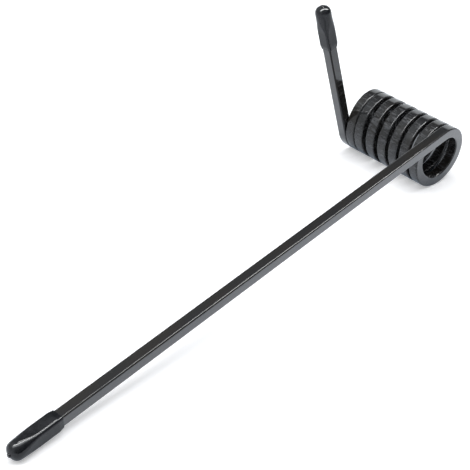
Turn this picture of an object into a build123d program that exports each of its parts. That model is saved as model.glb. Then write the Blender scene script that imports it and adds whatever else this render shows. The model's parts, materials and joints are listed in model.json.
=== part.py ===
from build123d import *
import math
import os

os.makedirs("parts", exist_ok=True)

# Torsion spring wound from square bar, with a moulded cap pushed over the end of each leg.
# Millimetres. The origin is the middle of the bore, +Y runs along the coil from the long leg's
# end to the short leg's end, +Z is up, and the long leg reaches out along -X.

# Square bar
bar = 9.0                   # across the flats
bar_corner = 0.5            # flat that breaks each of its rolled corners

# Coil, right-handed, counted from the long leg's tangent point
bore_diameter = 39.2        # free fit over the arbor or pivot sleeve
whole_turns = 7             # whole turns; half a turn and the leg opening are added to them
leg_opening = 77.2          # degrees between the two legs, seen along the coil's axis
tight_gap = 0.3             # air beside the bar in the tight turns at the long leg
tight_turns = 0.65
wide_gap = 2.6              # air beside the bar in the turns that follow
wide_turns = 2.6
widest_gap = 4.1            # air beside the bar where the coil is wound most open
widest_turns = 2.6
last_gap = 0.25             # air beside the bar in the tight turns that run out into the short leg

# Straight legs, from the tangent point to the end of the bar
long_leg = 461.2
short_leg = 116.75
leg_lean = 0.75            # degrees that each leg leaves the coil more steeply than the bar winds

# Moulded cap, the same on both legs
cap_length = 41.0           # mouth to the top of the dome
cap_cover = 22.0            # length of bar inside the cap
cap_diameter = 14.2         # moulded round, which the free end keeps
cap_wall = 1.4
cap_lip_wall = 0.6          # wall at the thinned mouth
cap_lip = 6.5               # length over which the wall thins to the mouth
cap_fade = 4.5              # length over which the bar's square fades into the moulded round
cap_dome = 4.6              # rise of the domed end above its shoulder
cap_end_wall = 4.2          # thickness of the domed end in the middle
cap_clearance = 0.05        # between the bar and the cap's pocket
nub_radius = 1.5            # drip nub that moulding leaves on top of the dome
nub_height = 1.6

# The bar is swept this much over size across its radius, and the coil is then bounded by
# true cylinders, so that the bore and the outside are exactly round.
round_off = 0.03

# Worked out from the sizes above
bore_radius = bore_diameter / 2
coil_radius = bore_radius + bar / 2
outer_radius = bore_radius + bar
tight_lead = bar + tight_gap
last_lead = bar + last_gap
turns = whole_turns + 0.5 + leg_opening / 360
windings = (
    (tight_turns, tight_lead),
    (wide_turns, bar + wide_gap),
    (widest_turns, bar + widest_gap),
    (turns - tight_turns - wide_turns - widest_turns, last_lead),
)
coil_advance = sum(count * lead for count, lead in windings)
cap_ball = ((cap_diameter / 2) ** 2 + cap_dome**2) / (2 * cap_dome)


def leg_slope(lead):
    """Slope of a leg against the plane square to the coil's axis, in degrees."""
    return math.degrees(math.atan2(lead, 2 * math.pi * coil_radius)) + leg_lean


def resting_droop():
    """Angle below level of the long leg, when the coil and the long leg's cap lie on one floor."""
    reach = (long_leg - cap_cover + cap_length - cap_dome) * math.cos(
        math.radians(leg_slope(tight_lead))
    )
    drop = coil_radius - cap_diameter / 2
    return math.degrees(math.acos(-outer_radius / math.hypot(drop, reach)) - math.atan2(reach, drop))


def axial_plane(turn, advance):
    """Plane across the bar after so many turns: X points out from the axis, Y against the axis."""
    angle = math.radians(360 * turn - resting_droop())
    outward = Vector(math.sin(angle), 0, math.cos(angle))
    return Plane(
        origin=Vector(0, advance - coil_advance / 2, 0) + outward * coil_radius,
        x_dir=outward,
        z_dir=Vector(math.cos(angle), 0, -math.sin(angle)),
    )


def bar_section(over_size=0.0):
    """Section of the bar, X across the coil's radius, over size by the given amount at each side."""
    return chamfer(Rectangle(bar + 2 * over_size, bar).vertices(), bar_corner)


def winding(turn, advance, count, lead):
    """One run of the coil with a constant lead, with the bar's section kept in the axial plane."""
    start = axial_plane(turn, advance)
    frame = Plane(
        origin=(0, advance - coil_advance / 2, 0),
        x_dir=start.x_dir,
        z_dir=(0, 1, 0),
    )
    path = frame * Helix(lead, lead * count, coil_radius)
    return sweep(start * bar_section(round_off), path=path, is_frenet=True)


def coil():
    """All the windings end to end, bounded by the round bore and the round outside."""
    body = None
    turn = advance = 0.0
    for count, lead in windings:
        run = winding(turn, advance, count, lead)
        body = run if body is None else body + run
        turn += count
        advance += count * lead
    length = coil_advance + 4 * bar
    tube = Cylinder(outer_radius, length) - Cylinder(bore_radius, length)
    return body & (Rot(90, 0, 0) * tube)


def leg_frame(turn, advance, lead, sense):
    """Frame at a tangent point: Z runs out along the leg, X is square to it and away from the axis."""
    across = axial_plane(turn, advance)
    slope = math.radians(leg_slope(lead))
    along = (across.z_dir * math.cos(slope) + Vector(0, math.sin(slope), 0)) * sense
    return Plane(origin=across.origin, x_dir=across.x_dir, z_dir=along)


long_frame = leg_frame(0, 0, tight_lead, -1)
short_frame = leg_frame(turns, coil_advance, last_lead, 1)


def leg(turn, advance, frame, length):
    """Straight bar that carries the coil's end section on along the leg, with a square end."""
    section = (axial_plane(turn, advance) * (bar_section(round_off) & Rectangle(bar, bar))).face()
    stock = extrude(section, amount=length + bar, dir=frame.z_dir)
    beyond = Box(4 * bar, 4 * bar, 4 * bar, align=(Align.CENTER, Align.CENTER, Align.MIN))
    return stock - frame * Pos(0, 0, length) * beyond


def spring():
    """Coil and both legs as one piece of bar."""
    return coil() + leg(0, 0, long_frame, long_leg) + leg(turns, coil_advance, short_frame, short_leg)


def round_stock(bottom_radius, top_radius, bottom, top):
    """Stock about Z that is round and straight, or tapers evenly, between two heights."""
    if bottom_radius == top_radius:
        body = Cylinder(bottom_radius, top - bottom)
    else:
        body = Cone(bottom_radius, top_radius, top - bottom)
    return Pos(0, 0, (bottom + top) / 2) * body


def square_stock(bottom_width, top_width, bottom, top):
    """Square stock about Z whose width changes evenly between two heights."""
    near = (bottom_width - top_width) / 2
    far = bottom_width - near
    body = Wedge(bottom_width, top - bottom, bottom_width, near, near, far, far)
    return Pos(0, 0, (bottom + top) / 2) * Rot(90, 0, 0) * body


def cap_body():
    """Outside of the cap: a round moulding that the bar inside it draws to four flats."""
    radius = cap_diameter / 2
    bar_ridge = (bar - bar_corner) / math.sqrt(2)
    ridge = bar_ridge + cap_wall
    shoulder = cap_cover + cap_fade
    moulding = (
        round_stock(bar_ridge + cap_lip_wall, ridge, 0, cap_lip)
        + round_stock(ridge, ridge, cap_lip, cap_cover)
        + round_stock(ridge, radius, cap_cover, shoulder)
        + round_stock(radius, radius, shoulder, cap_length)
    )
    width = bar + 2 * cap_wall
    flats = (
        square_stock(bar + 2 * cap_lip_wall, width, 0, cap_lip)
        + square_stock(width, width, cap_lip, cap_cover)
        + square_stock(width, cap_diameter, cap_cover, shoulder)
        + square_stock(cap_diameter, cap_diameter, shoulder, cap_length)
    )
    return moulding & flats


def cap():
    """Moulded cap with its mouth at the origin and its domed end up +Z, hollow past the bar."""
    ball = Pos(0, 0, cap_length - cap_ball) * Sphere(cap_ball)
    ball += round_stock(cap_ball, cap_ball, 0, cap_length - cap_ball)
    nub = round_stock(nub_radius, nub_radius, cap_length - nub_height, cap_length + nub_height)
    width = bar + 2 * cap_clearance
    depth = cap_cover + cap_clearance
    pocket = extrude(chamfer(Rectangle(width, width).vertices(), bar_corner), amount=depth)
    bore = cap_diameter / 2 - cap_wall
    hollow = round_stock(bore, bore, depth, cap_length - cap_end_wall)
    return (cap_body() & ball) + nub - pocket - hollow


def seat(frame, length):
    """Place of a cap whose pocket takes the end of a leg."""
    return frame * Pos(0, 0, length - cap_cover)


nodes = {
    "spring": spring(),
    "long_leg_cap": seat(long_frame, long_leg) * cap(),
    "short_leg_cap": seat(short_frame, short_leg) * cap(),
}

for name, solid in nodes.items():
    export_step(solid, f"parts/{name}.step")
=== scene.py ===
import bpy
import bmesh
import json
import math
from mathutils import Matrix, Vector


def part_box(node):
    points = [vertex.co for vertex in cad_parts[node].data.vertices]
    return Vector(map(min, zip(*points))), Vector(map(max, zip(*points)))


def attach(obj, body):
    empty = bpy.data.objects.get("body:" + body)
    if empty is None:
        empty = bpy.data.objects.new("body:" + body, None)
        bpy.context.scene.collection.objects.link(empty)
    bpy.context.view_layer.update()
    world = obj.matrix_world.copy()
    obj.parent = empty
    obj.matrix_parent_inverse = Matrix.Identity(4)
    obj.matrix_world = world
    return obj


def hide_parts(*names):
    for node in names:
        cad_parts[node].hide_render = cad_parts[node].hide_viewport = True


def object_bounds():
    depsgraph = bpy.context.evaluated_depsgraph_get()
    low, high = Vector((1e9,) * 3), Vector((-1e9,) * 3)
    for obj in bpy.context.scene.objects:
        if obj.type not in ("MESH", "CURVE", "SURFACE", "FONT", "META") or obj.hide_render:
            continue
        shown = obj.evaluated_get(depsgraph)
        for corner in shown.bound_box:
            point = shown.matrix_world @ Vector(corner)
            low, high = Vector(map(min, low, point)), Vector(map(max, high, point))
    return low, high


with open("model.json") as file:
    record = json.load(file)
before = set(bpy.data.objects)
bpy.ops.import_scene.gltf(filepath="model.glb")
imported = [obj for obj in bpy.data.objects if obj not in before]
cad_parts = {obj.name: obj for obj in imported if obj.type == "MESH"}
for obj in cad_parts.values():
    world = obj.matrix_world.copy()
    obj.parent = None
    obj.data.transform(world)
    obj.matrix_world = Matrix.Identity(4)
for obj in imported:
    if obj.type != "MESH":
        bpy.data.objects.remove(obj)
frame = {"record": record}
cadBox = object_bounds()
print("frame loaded")

mm = 0.001
touching = 0.001 * mm                           # vertices closer than this are merged
mounts = {mount["name"]: mount for mount in frame["record"]["mounts"]}

# the bar, the coil and the legs, as the frame gives them
boreRadius = mounts["arbor_bore"]["dims"]["r_mm"] * mm
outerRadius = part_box("spring")[1].x
bar = outerRadius - boreRadius
coilRadius = boreRadius + bar / 2
longAxis = Vector(mounts["long_leg_end"]["axis"])
shortAxis = Vector(mounts["short_leg_end"]["axis"])
longTip = Vector(mounts["long_leg_end"]["pos_m"])
shortTip = Vector(mounts["short_leg_end"]["pos_m"])
droop = math.atan2(-longAxis.z, -longAxis.x)    # angle of the long leg below level


def outward(angle):
    # away from the coil's axis, at an angle from +Z towards +X
    return Vector((math.sin(angle), 0, math.cos(angle)))


def placed(x, y, z, origin):
    # matrix that lays a shape's own axes along three directions
    place = Matrix((x, y, z)).transposed().to_4x4()
    place.translation = origin
    return place


def finishMesh(bm, name, material, nodes):
    bmesh.ops.remove_doubles(bm, verts=bm.verts, dist=touching)
    bmesh.ops.recalc_face_normals(bm, faces=bm.faces)
    for face in bm.faces:
        face.smooth = True
    mesh = bpy.data.meshes.new(name)
    bm.to_mesh(mesh)
    bm.free()
    mesh.materials.append(material)
    piece = bpy.data.objects.new(name, mesh)
    bpy.context.scene.collection.objects.link(piece)
    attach(piece, "root")
    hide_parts(*nodes)
    return piece


springSizes = {
    "barCorner": 1.2 * mm,       # radius of the rolled corners
    "cornerSteps": 7,
    "stepsPerTurn": 120,
    "wholeTurns": 7,             # half a turn and the leg opening are added to them
    "legOpening": 77.2,          # degrees between the legs
    "windings": (                # turns, and air beside the bar
        (0.65, 0.3 * mm),
        (2.6, 2.6 * mm),
        (2.6, 4.1 * mm),
    ),
    "lastGap": 0.25 * mm,        # air beside the bar in the turns that are left
}
coilTurns = springSizes["wholeTurns"] + 0.5 + springSizes["legOpening"] / 360


def axialPlane(angle, advance):
    # plane across the bar: X out from the axis, Y against it, Z along the bar
    out = outward(angle)
    along = Vector((math.cos(angle), 0, -math.sin(angle)))
    return placed(out, Vector((0, -1, 0)), along, Vector((0, advance, 0)) + out * coilRadius)


def barLength(turns):
    return turns * math.tau * coilRadius


def extrudeEnd(bm, face, end, axis):
    # carries the section on to a plane square to the leg
    made = bmesh.ops.extrude_face_region(bm, geom=[face])["geom"]
    for item in made:
        if isinstance(item, bmesh.types.BMVert):
            item.co += axis * (end - item.co).dot(axis)


def coilSteps(windings, start):
    # turn count and place along the axis where each winding begins and ends
    steps = [(0.0, start)]
    for turns, gap in windings:
        steps.append((steps[-1][0] + turns, steps[-1][1] + turns * (bar + gap)))
    return steps


def between(value, pairs):
    # follows a line through (from, to) pairs, and carries its first and last stretch on
    for (fromA, toA), (fromB, toB) in zip(pairs, pairs[1:]):
        if value < fromB:
            break
    return toA + (toB - toA) * (value - fromA) / (fromB - fromA)


def markPlaces(bm, steps):
    # stores where each vertex would lie on the straight bar: along it, out from and along the coil's axis
    layer = bm.verts.layers.float_vector.new("barPlace")
    turnsAt = [(advance, turn) for turn, advance in steps]
    legs = ((-1, longAxis, *steps[0]), (1, shortAxis, *steps[-1]))
    for vert in bm.verts:
        out = math.hypot(vert.co.x, vert.co.z)
        if out > outerRadius + bar / 4:         # the far end of a leg
            way, axis, turn, advance = legs[vert.co.y > 0]
            place = axialPlane(math.tau * turn - droop, advance)
            offset = vert.co - place.translation
            reach = offset.dot(axis)
            aside = offset - axis * reach
            vert[layer] = (barLength(turn) + way * reach, aside.dot(place.col[0].to_3d()), aside.y)
            continue
        part = (math.atan2(vert.co.x, vert.co.z) + droop) / math.tau
        turn = part + round(between(vert.co.y, turnsAt) - part)
        vert[layer] = (barLength(turn), out - coilRadius, vert.co.y - between(turn, steps))


def buildSpring(material, longEnd, shortEnd):
    lastTurns = coilTurns - sum(turns for turns, gap in springSizes["windings"])
    windings = (*springSizes["windings"], (lastTurns, springSizes["lastGap"]))
    start = -sum(turns * (bar + gap) for turns, gap in windings) / 2

    bm = bmesh.new()
    bmesh.ops.create_grid(bm, x_segments=1, y_segments=1, size=bar / 2)
    bmesh.ops.bevel(bm, geom=bm.verts[:], offset=springSizes["barCorner"], affect="VERTICES",
                    segments=springSizes["cornerSteps"], profile=0.5, material=-1)
    bmesh.ops.transform(bm, matrix=axialPlane(-droop, start), verts=bm.verts)
    bm.faces.ensure_lookup_table()
    section = bm.faces[0]
    extrudeEnd(bm, section, longEnd, longAxis)

    last = [section, *section.edges, *section.verts]
    for turns, gap in windings:
        count = round(turns * springSizes["stepsPerTurn"])
        made = bmesh.ops.spin(bm, geom=last, cent=(0, 0, 0), axis=(0, 1, 0), steps=count,
                              dvec=(0, turns * (bar + gap) / count, 0), angle=math.tau * turns)
        last = made["geom_last"]
    section = next(item for item in last if isinstance(item, bmesh.types.BMFace))
    extrudeEnd(bm, section, shortEnd, shortAxis)
    markPlaces(bm, coilSteps(windings, start))

    piece = finishMesh(bm, "springBar", material, ["spring"])
    weighted = piece.modifiers.new("Weighted normals", "WEIGHTED_NORMAL")
    weighted.keep_sharp = True


capSizes = {
    "length": 41.0 * mm,
    "cover": 22.0 * mm,          # length of bar inside
    "clearance": 0.05 * mm,      # between the bar and the pocket
    "longFlats": 18.0 * mm,      # height up to which the bar's square shows through, long leg
    "shortFlats": 14.0 * mm,
    "longFade": 18.0 * mm,       # length over which the square turns round
    "shortFade": 16.0 * mm,
    "diameter": 14.2 * mm,
    "wall": 1.4 * mm,
    "corner": 2.25 * mm,         # outside corners over the bar
    "lipWall": 0.9 * mm,
    "lipCorner": 2.1 * mm,
    "lip": 4.5 * mm,             # length over which the wall thins to the mouth
    "lipRound": 0.22 * mm,
    "lipSteps": 9,
    "dome": 4.6 * mm,
    "domeSteps": 16,
    "domeNear": 1.3,             # the dome shapes the skin where it reaches less than this share of the width
    "domeBelow": 1.2 * mm,       # how far below the dome's foot the finer rows start
    "shoulder": 9,               # higher makes a sharper shoulder
    "nubRadius": 1.6 * mm,
    "nubHeight": 0.8 * mm,
    "nubRound": 0.6 * mm,
    "nubSteps": 6,
    "segments": 144,
    "rowLength": 0.9 * mm,
    "pointRadius": 1e-5 * mm,    # of a ring that closes to a point
}
domeRadius = ((capSizes["diameter"] / 2) ** 2 + capSizes["dome"] ** 2) / (2 * capSizes["dome"])


def skinRadius(angle, half, corner):
    # distance from the axis to a rounded square of that half width
    turn = abs((angle + math.pi / 4) % (math.pi / 2) - math.pi / 4)
    flat = half / math.cos(turn)
    if flat * math.sin(turn) <= half - corner:
        return flat
    centre = math.hypot(half - corner, half - corner)
    lean = math.pi / 4 - turn
    return centre * math.cos(lean) + math.sqrt(corner**2 - (centre * math.sin(lean)) ** 2)


def smooth(value):
    value = min(max(value, 0), 1)
    return value * value * (3 - 2 * value)


def capOutside(height, flats, fade):
    # half width and corner radius of the cap's skin at a height above its mouth
    length, dome = capSizes["length"], capSizes["dome"]
    lipShare = smooth(height / capSizes["lip"])
    half = bar / 2 + capSizes["lipWall"] + (capSizes["wall"] - capSizes["lipWall"]) * lipShare
    corner = capSizes["lipCorner"] + (capSizes["corner"] - capSizes["lipCorner"]) * lipShare
    roundShare = smooth((height - flats) / fade)
    half += (capSizes["diameter"] / 2 - half) * roundShare
    corner += (half - corner) * roundShare
    above = max(height - (length - domeRadius), 0)
    reach = math.sqrt(max(domeRadius**2 - above**2, 0))
    power = capSizes["shoulder"]
    if reach < half * capSizes["domeNear"]:
        # the smaller of both, with a soft change from one to the other
        capped = (half**-power + max(reach, touching) ** -power) ** (-1 / power)
        corner *= capped / half
        corner += (capped - corner) * smooth((height - length + dome) / dome * 2)
        half = capped
    return half, corner


def capRows(flats, fade):
    # height, half width and corner radius of each row, from the pocket's bottom over the mouth to the nub
    length, lipRound, lipSteps = capSizes["length"], capSizes["lipRound"], capSizes["lipSteps"]
    pocket = bar / 2 + capSizes["clearance"]
    pocketCorner = springSizes["barCorner"]
    rows = [
        (capSizes["cover"], 0.0, 0.0),
        (capSizes["cover"], pocket, pocketCorner),
        (lipRound, pocket, pocketCorner),
    ]
    half, corner = capOutside(lipRound, flats, fade)
    for step in range(1, lipSteps):
        turn = math.pi * step / lipSteps
        rows.append((lipRound * (1 - math.sin(turn)),
                     (half + pocket) / 2 - (half - pocket) / 2 * math.cos(turn),
                     (corner + pocketCorner) / 2 - (corner - pocketCorner) / 2 * math.cos(turn)))

    finer = length - capSizes["dome"] - capSizes["domeBelow"]
    count = round((finer - lipRound) / capSizes["rowLength"])
    heights = [lipRound + (finer - lipRound) * step / count for step in range(count + 1)]
    nub, nubRound, nubSteps = capSizes["nubRadius"], capSizes["nubRound"], capSizes["nubSteps"]
    nubFoot = length - domeRadius + math.sqrt(domeRadius**2 - nub**2)
    domeSteps = capSizes["domeSteps"]
    heights += [finer + (nubFoot - finer) * math.sin(math.pi / 2 * step / domeSteps)
                for step in range(1, domeSteps + 1)]
    rows += [(height, *capOutside(height, flats, fade)) for height in heights]

    nubTop = length + capSizes["nubHeight"]
    for step in range(nubSteps + 1):
        turn = math.pi / 2 * step / nubSteps
        radius = nub - nubRound * (1 - math.cos(turn))
        rows.append((nubTop - nubRound * (1 - math.sin(turn)), radius, radius))
    rows.append((nubTop, 0.0, 0.0))
    return rows


def buildCap(name, node, tip, axis, out, flats, fade, material):
    bm = bmesh.new()
    ring = bmesh.ops.create_circle(bm, segments=capSizes["segments"], radius=1)["verts"]
    edges = bm.edges[:]
    for index, (height, half, corner) in enumerate(capRows(flats, fade)):
        if index:
            made = bmesh.ops.extrude_edge_only(bm, edges=edges)["geom"]
            edges = [item for item in made if isinstance(item, bmesh.types.BMEdge)]
            ring = [item for item in made if isinstance(item, bmesh.types.BMVert)]
        for vert in ring:
            angle = math.atan2(vert.co.y, vert.co.x)
            radius = max(skinRadius(angle, half, corner) if half else 0.0, capSizes["pointRadius"])
            vert.co = Vector((math.cos(angle) * radius, math.sin(angle) * radius, height))
    place = placed(out, axis.cross(out), axis, tip - axis * capSizes["length"])
    bmesh.ops.transform(bm, matrix=place, verts=bm.verts)
    finishMesh(bm, name, material, [node])


def newMaterial(name):
    material = bpy.data.materials.new(name)
    material.use_nodes = True
    tree = material.node_tree
    tree.nodes.clear()
    shader = tree.nodes.new("ShaderNodeBsdfPrincipled")
    output = tree.nodes.new("ShaderNodeOutputMaterial")
    tree.links.new(shader.outputs["BSDF"], output.inputs["Surface"])
    return material, tree, shader


def feed(tree, value, socket):
    # links a socket, or sets a plain value
    if isinstance(value, bpy.types.NodeSocket):
        tree.links.new(value, socket)
    else:
        socket.default_value = value


def calc(tree, operation, *values):
    node = tree.nodes.new("ShaderNodeMath")
    node.operation = operation
    for value, socket in zip(values, node.inputs):
        feed(tree, value, socket)
    return node.outputs[0]


def addShare(tree, total, mask, share):
    return calc(tree, "ADD", total, calc(tree, "MULTIPLY", mask, share))


def ramp(tree, value, low, high, toLow, toHigh):
    node = tree.nodes.new("ShaderNodeMapRange")
    node.interpolation_type = "SMOOTHSTEP"
    for socket, item in zip(node.inputs, (value, low, high, toLow, toHigh)):
        feed(tree, item, socket)
    return node.outputs["Result"]


def blendColours(tree, share, first, second):
    node = tree.nodes.new("ShaderNodeMix")
    node.data_type = "RGBA"
    feed(tree, share, node.inputs["Factor"])
    feed(tree, first, node.inputs[6])           # its colour sockets
    feed(tree, second, node.inputs[7])
    return node.outputs[2]


def stretched(tree, place, scale):
    node = tree.nodes.new("ShaderNodeMapping")
    feed(tree, place, node.inputs["Vector"])
    node.inputs["Scale"].default_value = scale
    return node.outputs["Vector"]


def noise(tree, place, size, detail, rough=0.5):
    # the size is a length, or the socket that gives one
    node = tree.nodes.new("ShaderNodeTexNoise")
    feed(tree, place, node.inputs["Vector"])
    linked = isinstance(size, bpy.types.NodeSocket)
    feed(tree, calc(tree, "DIVIDE", 1.0, size) if linked else 1 / size, node.inputs["Scale"])
    node.inputs["Detail"].default_value = detail
    node.inputs["Roughness"].default_value = rough
    return node.outputs["Fac"]


def newGroup(name, inputs, outputs):
    group = bpy.data.node_groups.new(name, "ShaderNodeTree")
    for label, kind, value in inputs:
        socket = group.interface.new_socket(label, in_out="INPUT", socket_type=kind)
        if value is not None:
            socket.default_value = value
    for label in outputs:
        group.interface.new_socket(label, in_out="OUTPUT", socket_type="NodeSocketFloat")
    return group, group.nodes.new("NodeGroupInput").outputs, group.nodes.new("NodeGroupOutput").inputs


def placeGroup(tree, group, place, **values):
    node = tree.nodes.new("ShaderNodeGroup")
    node.node_tree = group
    tree.links.new(place, node.inputs["Place"])
    for label, value in values.items():
        node.inputs[label].default_value = value
    return node.outputs[0]


def orangePeelGroup():
    # soft dimples of a coat that flowed and set, as a height in metres
    group, given, made = newGroup("orangePeel", (
        ("Place", "NodeSocketVector", None),
        ("Dimples", "NodeSocketFloat", 1.4 * mm),
        ("Depth", "NodeSocketFloat", 0.002 * mm),
    ), ("Height",))
    dimples = noise(group, given["Place"], given["Dimples"], 1.0)
    feed(group, calc(group, "MULTIPLY", dimples, given["Depth"]), made["Height"])
    return group


def dustGroup():
    # a few specks that settled in the coat or on it
    smallest, core = 0.4, 0.3                   # shares of the given size, and of a speck's radius
    group, given, made = newGroup("dust", (
        ("Place", "NodeSocketVector", None),
        ("Spacing", "NodeSocketFloat", 5 * mm),
        ("Size", "NodeSocketFloat", 0.05),
        ("Share", "NodeSocketFloat", 0.3),
    ), ("Mask",))
    cells = group.nodes.new("ShaderNodeTexVoronoi")
    group.links.new(given["Place"], cells.inputs["Vector"])
    group.links.new(calc(group, "DIVIDE", 1.0, given["Spacing"]), cells.inputs["Scale"])
    chance = group.nodes.new("ShaderNodeSeparateColor")
    group.links.new(cells.outputs["Color"], chance.inputs[0])
    chosen = calc(group, "LESS_THAN", chance.outputs[0], given["Share"])
    size = calc(group, "MULTIPLY", given["Size"], calc(group, "ADD", smallest, chance.outputs[1]))
    speck = ramp(group, calc(group, "DIVIDE", cells.outputs["Distance"], size), core, 1.0, 1.0, 0.0)
    feed(group, calc(group, "MULTIPLY", speck, chosen), made["Mask"])
    return group


def rubGroup():
    # faint rubbed patches broken up into short strokes
    patchEdges, strokeEdges = (0.5, 0.7), (0.5, 0.68)
    group, given, made = newGroup("rubs", (
        ("Place", "NodeSocketVector", None),
        ("Patch", "NodeSocketFloat", 25 * mm),
        ("Stroke", "NodeSocketFloat", 0.5 * mm),
    ), ("Mask",))
    patches = ramp(group, noise(group, given["Place"], given["Patch"], 3.0), *patchEdges, 0.0, 1.0)
    strokes = ramp(group, noise(group, given["Place"], given["Stroke"], 3.0), *strokeEdges, 0.0, 1.0)
    feed(group, calc(group, "MULTIPLY", patches, strokes), made["Mask"])
    return group


def feedBump(tree, shader, height):
    # the height is in metres
    bump = tree.nodes.new("ShaderNodeBump")
    bump.inputs["Distance"].default_value = 1.0
    tree.links.new(height, bump.inputs["Height"])
    tree.links.new(bump.outputs["Normal"], shader.inputs["Normal"])


# noises are given by size, detail and roughness, and edges are where a change starts and ends
paintLook = {
    "black": (0.013, 0.0135, 0.015, 1),
    "warmBlack": (0.017, 0.0155, 0.014, 1),
    "cloud": (16 * mm, 3.0),                # patches of the warm black
    "cloudStretch": (0.35, 1, 1),
    "cloudEdges": (0.35, 0.65),
    "coilFade": 12 * mm,                    # half the stretch over which the coil's finish ends at a leg
    "cross": (1.5 * mm, 3.0, 0.65),         # noise across the bar, for the painted sheen streaks and the ripples
    "crossStretch": (1, 0.2, 0.22),
    "paintedSheen": (0.048, 0.050, 0.054, 1),     # paler cross streaks on the coil: painted sheen for light that the winding ripples catch
    "streakEdges": (0.50, 0.66),
    "streakRough": 0.12,
    "thinCoat": (0.040, 0.041, 0.044, 1),   # where the coat pulls away from a corner or was rubbed
    "thinReach": (0.9 * mm, 0.1 * mm),      # from the bar's sides, where it starts and is full
    "thinShare": 0.4,
    "ragged": (1.6 * mm, 3.0),
    "raggedEdges": (0.35, 0.65),
    "raggedLeast": 0.2,
    "rubStretch": (0.12, 1, 1),
    "rubShare": 0.15,
    "rubRough": 0.06,
    "specks": {"Spacing": 4 * mm, "Size": 0.07, "Share": 0.5},
    "dust": (0.14, 0.14, 0.14, 1),
    "dustRough": 0.4,
    "dustHeight": 0.02 * mm,
    "gloss": (0.05, 0.12),                  # roughness, cleanest to dullest
    "dull": (7 * mm, 4.0, 0.6),
    "dullEdges": (0.35, 0.7),
    "ior": 1.5,
    "coatIor": 1.50,
    "coatRough": 0.05,
    "coatEdges": (0.12, 0.50),              # slant of view from which the clear coat shows and is full
    "coatOutside": 0.50,                    # share of it that is left on the coil's outside
    "outsideEdges": (0.33, 0.45),           # shares of the bar's width, out from its middle
    "peelDepth": 0.0010 * mm,
    "ripple": 0.052 * mm,                   # cross ripples that winding leaves on the coil
    "rippleOnLegs": 0.03,
    "rippleAtCorners": 0.1,
    "cornerEdges": (0.36, 0.46),            # shares of the bar's width, out from its middle
    "patch": (13 * mm, 1.0),                # where the ripples are weaker
    "patchEdges": (0.38, 0.62),
    "patchLeast": 0.35,
    "waveHeight": 0.03 * mm,                # long waves along the bar
    "wave": (24 * mm, 1.0),
    "waveStretch": (1, 0.5, 0.5),
}


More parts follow.
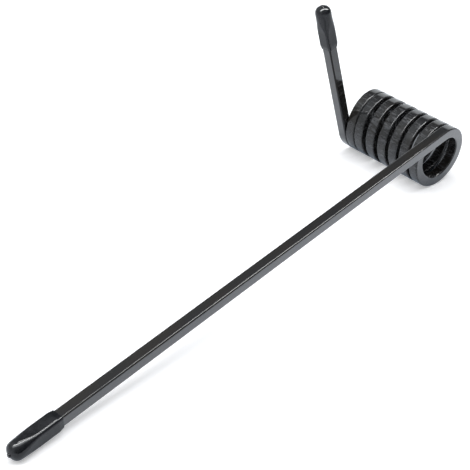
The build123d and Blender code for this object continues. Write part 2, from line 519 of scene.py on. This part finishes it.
def glossPaint(orangePeel, dust, rubs):
    material, tree, shader = newMaterial("glossPaint")
    look = paintLook
    attribute = tree.nodes.new("ShaderNodeAttribute")
    attribute.attribute_name = "barPlace"
    place = attribute.outputs["Vector"]
    parts = tree.nodes.new("ShaderNodeSeparateXYZ")
    tree.links.new(place, parts.inputs[0])
    along, radial, axial = parts.outputs

    # masks
    nearest = calc(tree, "MINIMUM", calc(tree, "ABSOLUTE", radial), calc(tree, "ABSOLUTE", axial))
    thinFrom, thinFull = look["thinReach"]
    thin = ramp(tree, nearest, bar / 2 - thinFrom, bar / 2 - thinFull, 0.0, 1.0)
    ragged = ramp(tree, noise(tree, place, *look["ragged"]), *look["raggedEdges"], look["raggedLeast"], 1.0)
    thin = calc(tree, "MULTIPLY", thin, ragged)
    speck = placeGroup(tree, dust, place, **look["specks"])
    rub = placeGroup(tree, rubs, stretched(tree, place, look["rubStretch"]))
    cross = noise(tree, stretched(tree, place, look["crossStretch"]), *look["cross"])
    fade, coilEnd = look["coilFade"], barLength(coilTurns)
    onCoil = calc(tree, "MULTIPLY", ramp(tree, along, -fade, fade, 0.0, 1.0),
                  ramp(tree, along, coilEnd - fade, coilEnd + fade, 1.0, 0.0))
    # mask of the cross streaks: their paler colour is painted sheen, and their added roughness is real
    sheenStreaks = calc(tree, "MULTIPLY", ramp(tree, cross, *look["streakEdges"], 0.0, 1.0), onCoil)
    cloud = noise(tree, stretched(tree, place, look["cloudStretch"]), *look["cloud"])
    cloud = ramp(tree, cloud, *look["cloudEdges"], 0.0, 1.0)

    colour = blendColours(tree, cloud, look["black"], look["warmBlack"])
    # paler cross streaks on the coil: painted sheen standing in for light caught by the winding ripples
    colour = blendColours(tree, sheenStreaks, colour, look["paintedSheen"])
    colour = blendColours(tree, calc(tree, "MULTIPLY", thin, look["thinShare"]), colour, look["thinCoat"])
    colour = blendColours(tree, calc(tree, "MULTIPLY", rub, look["rubShare"]), colour, look["thinCoat"])
    colour = blendColours(tree, speck, colour, look["dust"])
    tree.links.new(colour, shader.inputs["Base Color"])

    rough = ramp(tree, noise(tree, place, *look["dull"]), *look["dullEdges"], *look["gloss"])
    rough = addShare(tree, rough, rub, look["rubRough"])
    rough = addShare(tree, rough, sheenStreaks, look["streakRough"])
    rough = addShare(tree, rough, speck, look["dustRough"])
    tree.links.new(rough, shader.inputs["Roughness"])
    shader.inputs["IOR"].default_value = look["ior"]

    slant = tree.nodes.new("ShaderNodeLayerWeight").outputs["Facing"]
    outsideFrom, outsideFull = look["outsideEdges"]
    outside = ramp(tree, radial, bar * outsideFrom, bar * outsideFull, 0.0, 1.0)
    outside = calc(tree, "MULTIPLY", outside, onCoil)
    coat = calc(tree, "MULTIPLY", ramp(tree, slant, *look["coatEdges"], 0.0, 1.0),
                ramp(tree, outside, 0.0, 1.0, 1.0, look["coatOutside"]))
    tree.links.new(coat, shader.inputs["Coat Weight"])
    shader.inputs["Coat IOR"].default_value = look["coatIor"]
    shader.inputs["Coat Roughness"].default_value = look["coatRough"]

    patchy = ramp(tree, noise(tree, place, *look["patch"]), *look["patchEdges"], look["patchLeast"], 1.0)
    cornerFrom, cornerFull = look["cornerEdges"]
    corners = ramp(tree, nearest, bar * cornerFrom, bar * cornerFull, 1.0, look["rippleAtCorners"])
    patchy = calc(tree, "MULTIPLY", patchy, corners)
    rippled = ramp(tree, onCoil, 0.0, 1.0, look["rippleOnLegs"], 1.0)
    ripple = calc(tree, "MULTIPLY", calc(tree, "MULTIPLY", cross, patchy),
                  calc(tree, "MULTIPLY", rippled, look["ripple"]))
    wave = noise(tree, stretched(tree, place, look["waveStretch"]), *look["wave"])
    height = addShare(tree, ripple, wave, look["waveHeight"])
    height = calc(tree, "ADD", height, placeGroup(tree, orangePeel, place, Depth=look["peelDepth"]))
    height = addShare(tree, height, speck, look["dustHeight"])
    feedBump(tree, shader, height)
    return material


vinylLook = {
    "black": (0.009, 0.010, 0.012, 1),
    "bloom": (0.016, 0.017, 0.020, 1),      # greyer film where the vinyl was stretched or handled
    "cloud": (7 * mm, 3.0),                 # patches of that film
    "cloudEdges": (0.38, 0.66),
    "specks": {"Spacing": 4 * mm, "Size": 0.06, "Share": 0.3},
    "dust": (0.10, 0.10, 0.10, 1),
    "dustHeight": 0.02 * mm,
    "rubs": {"Patch": 9 * mm, "Stroke": 0.6 * mm},
    "rubShare": 0.15,
    "rubRough": 0.1,
    "gloss": (0.07, 0.13),                  # roughness, cleanest to dullest
    "ior": 1.43,
    "peel": {"Dimples": 1.1 * mm, "Depth": 0.0012 * mm},
    "runHeight": 0.01 * mm,                 # slow waves where the dipped coat ran
    "run": (10 * mm, 1.0),
}


def vinyl(orangePeel, dust, rubs):
    material, tree, shader = newMaterial("vinyl")
    look = vinylLook
    place = tree.nodes.new("ShaderNodeTexCoord").outputs["Object"]
    speck = placeGroup(tree, dust, place, **look["specks"])
    rub = placeGroup(tree, rubs, place, **look["rubs"])
    cloud = ramp(tree, noise(tree, place, *look["cloud"]), *look["cloudEdges"], 0.0, 1.0)
    colour = blendColours(tree, cloud, look["black"], look["bloom"])
    colour = blendColours(tree, calc(tree, "MULTIPLY", rub, look["rubShare"]), colour, look["dust"])
    colour = blendColours(tree, speck, colour, look["dust"])
    tree.links.new(colour, shader.inputs["Base Color"])
    rough = addShare(tree, ramp(tree, cloud, 0.0, 1.0, *look["gloss"]), rub, look["rubRough"])
    tree.links.new(rough, shader.inputs["Roughness"])
    shader.inputs["IOR"].default_value = look["ior"]
    runs = calc(tree, "MULTIPLY", noise(tree, place, *look["run"]), look["runHeight"])
    height = calc(tree, "ADD", runs, placeGroup(tree, orangePeel, place, **look["peel"]))
    feedBump(tree, shader, addShare(tree, height, speck, look["dustHeight"]))
    return material


orangePeel, dust, rubs = orangePeelGroup(), dustGroup(), rubGroup()
pastBar = capSizes["length"] - capSizes["cover"]
barPaint = glossPaint(orangePeel, dust, rubs)
buildSpring(barPaint, longTip - longAxis * pastBar, shortTip - shortAxis * pastBar)
print("spring built")
capVinyl = vinyl(orangePeel, dust, rubs)
buildCap("longLegCap", "long_leg_cap", longTip, longAxis, outward(-droop),
         capSizes["longFlats"], capSizes["longFade"], capVinyl)
buildCap("shortLegCap", "short_leg_cap", shortTip, shortAxis, outward(math.tau * coilTurns - droop),
         capSizes["shortFlats"], capSizes["shortFade"], capVinyl)
print("caps built")

# heights in the sky are sines of the angle above level
studio = {
    "floorColour": (0.82, 0.832, 0.855, 1),
    "floorRough": 0.9,
    "floorReach": 6.0,          # metres to each side of the origin
    "floorLift": 0.38,          # glow that only the camera sees
    "liftColour": (0.99, 0.995, 1.0, 1),
    "floorGlow": 0.08,          # glow that only reflections see
    "glowColour": (0.0, 0.45, 1.0, 1),
    "lightColour": (0.93, 0.97, 1.0, 1),    # of the sky in reflections
    "overheadLight": 5.0,       # a band of light that runs overhead
    "overheadEdges": (0.50, 0.92),
    "bandAcross": (0.43, 0.90, 0.0),
    "bandEdges": (0.08, 0.26),  # sine of the angle from its middle, where it starts and ends fading
    "bandLeast": 0.05,
    "darkSide": 0.05,           # share of the light left on the dark side
    "darkWay": (0.62, -0.78, 0.0),
    "darkEdges": (0.50, 0.90),  # cosine of the angle from it, where the dark side begins and is full
    "pale": 0.60,               # a pale wall to one side
    "paleWay": (-0.75, 0.60, 0.28),
    "paleEdges": (0.25, 0.85),
    "horizonLight": 0.20,       # the low light all round
    "farEdges": (0.2, 0.65),    # how far towards +X the far side begins and is full
    "farDim": 0.35,             # share of the low light left there
    "horizonGlow": 0.90,        # the bright horizon there
    "horizonEdges": (0.40, 0.56),
    "lamps": (                  # name, place, length, width, turn about Z, power, lights the floor
        ("softbox", (0.45, 0.95, 2.50), 0.42, 0.42, 0.0, 7.8, True),
        ("strip", (0.0, 0.0, 1.30), 2.40, 0.14, -25.5, 30.0, False),
    ),
}


def buildFloor():
    mesh = bpy.data.meshes.new("floor")
    bm = bmesh.new()
    bmesh.ops.create_grid(bm, x_segments=1, y_segments=1, size=studio["floorReach"])
    bmesh.ops.translate(bm, verts=bm.verts, vec=(0, 0, cadBox[0].z))
    bm.to_mesh(mesh)
    bm.free()
    floor = bpy.data.objects.new("floor", mesh)
    bpy.context.scene.collection.objects.link(floor)
    material, tree, shader = newMaterial("floorPaper")
    shader.inputs["Base Color"].default_value = studio["floorColour"]
    shader.inputs["Roughness"].default_value = studio["floorRough"]
    shader.inputs["Specular IOR Level"].default_value = 0.0
    path = tree.nodes.new("ShaderNodeLightPath").outputs
    mirrored = calc(tree, "MAXIMUM", path["Is Glossy Ray"], path["Is Transmission Ray"])
    shine = blendColours(tree, mirrored, studio["liftColour"], studio["glowColour"])
    tree.links.new(shine, shader.inputs["Emission Color"])
    lift = calc(tree, "MULTIPLY", path["Is Camera Ray"], studio["floorLift"])
    tree.links.new(addShare(tree, lift, mirrored, studio["floorGlow"]), shader.inputs["Emission Strength"])
    mesh.materials.append(material)


def buildWorld():
    world = bpy.data.worlds.new("studio")
    bpy.context.scene.world = world
    world.use_nodes = True
    tree = world.node_tree
    tree.nodes.clear()
    way = tree.nodes.new("ShaderNodeTexCoord").outputs["Generated"]
    parts = tree.nodes.new("ShaderNodeSeparateXYZ")
    tree.links.new(way, parts.inputs[0])
    height = parts.outputs["Z"]

    def towards(aim):
        node = tree.nodes.new("ShaderNodeVectorMath")
        node.operation = "DOT_PRODUCT"
        tree.links.new(way, node.inputs[0])
        node.inputs[1].default_value = aim
        return node.outputs["Value"]

    overhead = ramp(tree, height, *studio["overheadEdges"], 0.0, studio["overheadLight"])
    fromMiddle = calc(tree, "ABSOLUTE", towards(studio["bandAcross"]))
    band = ramp(tree, fromMiddle, *studio["bandEdges"], 1.0, studio["bandLeast"])
    side = ramp(tree, towards(studio["darkWay"]), *studio["darkEdges"], 1.0, studio["darkSide"])
    pale = ramp(tree, towards(studio["paleWay"]), *studio["paleEdges"], 0.0, studio["pale"])
    far = ramp(tree, parts.outputs["X"], *studio["farEdges"], 0.0, 1.0)
    glow = ramp(tree, height, *studio["horizonEdges"], studio["horizonGlow"], 0.0)
    low = calc(tree, "MULTIPLY", studio["horizonLight"], ramp(tree, far, 0.0, 1.0, 1.0, studio["farDim"]))
    low = addShare(tree, calc(tree, "ADD", low, pale), glow, far)
    light = calc(tree, "ADD", calc(tree, "MULTIPLY", overhead, band), low)
    light = calc(tree, "MULTIPLY", light, side)

    # the camera sees plain white
    path = tree.nodes.new("ShaderNodeLightPath").outputs
    seen = calc(tree, "MULTIPLY", path["Is Camera Ray"], calc(tree, "SUBTRACT", 1.0, light))
    background = tree.nodes.new("ShaderNodeBackground")
    tint = blendColours(tree, path["Is Glossy Ray"], (1, 1, 1, 1), studio["lightColour"])
    tree.links.new(tint, background.inputs["Color"])
    tree.links.new(calc(tree, "ADD", light, seen), background.inputs["Strength"])
    output = tree.nodes.new("ShaderNodeOutputWorld")
    tree.links.new(background.outputs[0], output.inputs["Surface"])


def buildLamp(name, place, length, width, turn, power, lightsFloor):
    lamp = bpy.data.lights.new(name, "AREA")
    lamp.shape = "RECTANGLE"
    lamp.size, lamp.size_y = length, width
    lamp.energy = power
    item = bpy.data.objects.new(name, lamp)
    back = Vector(place).normalized()
    lengthways = Vector((math.cos(math.radians(turn)), math.sin(math.radians(turn)), 0))
    widthways = back.cross(lengthways).normalized()
    item.matrix_world = placed(widthways.cross(back), widthways, back, Vector(place))
    item.visible_diffuse = lightsFloor
    bpy.context.scene.collection.objects.link(item)


view = {
    "azimuth": 47.62,           # degrees from -Y towards -X
    "elevation": 34.43,
    "roll": 5.277,
    "lens": 93.447,             # mm
    "sensor": 36,
    "distance": 1.0775,         # from the camera to the origin's depth, in metres
    "originAt": (400.55, 136.73),   # pixel where the origin lies
    "frameSize": 470,
}


def buildCamera():
    azimuth, elevation = math.radians(view["azimuth"]), math.radians(view["elevation"])
    roll = math.radians(view["roll"])
    back = Vector((-math.sin(azimuth) * math.cos(elevation), -math.cos(azimuth) * math.cos(elevation),
                   math.sin(elevation)))
    level = Vector((math.cos(azimuth), -math.sin(azimuth), 0))
    upward = back.cross(level)
    right = level * math.cos(roll) + upward * math.sin(roll)
    up = upward * math.cos(roll) - level * math.sin(roll)
    pixel = view["sensor"] / view["frameSize"] / view["lens"] * view["distance"]
    half = view["frameSize"] / 2
    across = (view["originAt"][0] - half) * pixel
    above = (half - view["originAt"][1]) * pixel
    cameraData = bpy.data.cameras.new("camera")
    cameraData.sensor_width = view["sensor"]
    cameraData.lens = view["lens"]
    camera = bpy.data.objects.new("camera", cameraData)
    camera.matrix_world = placed(right, up, back, back * view["distance"] - right * across - up * above)
    bpy.context.scene.collection.objects.link(camera)
    bpy.context.scene.camera = camera


buildFloor()
buildWorld()
for lamp in studio["lamps"]:
    buildLamp(*lamp)
buildCamera()
bpy.context.scene.view_settings.view_transform = "Standard"
print("studio built")
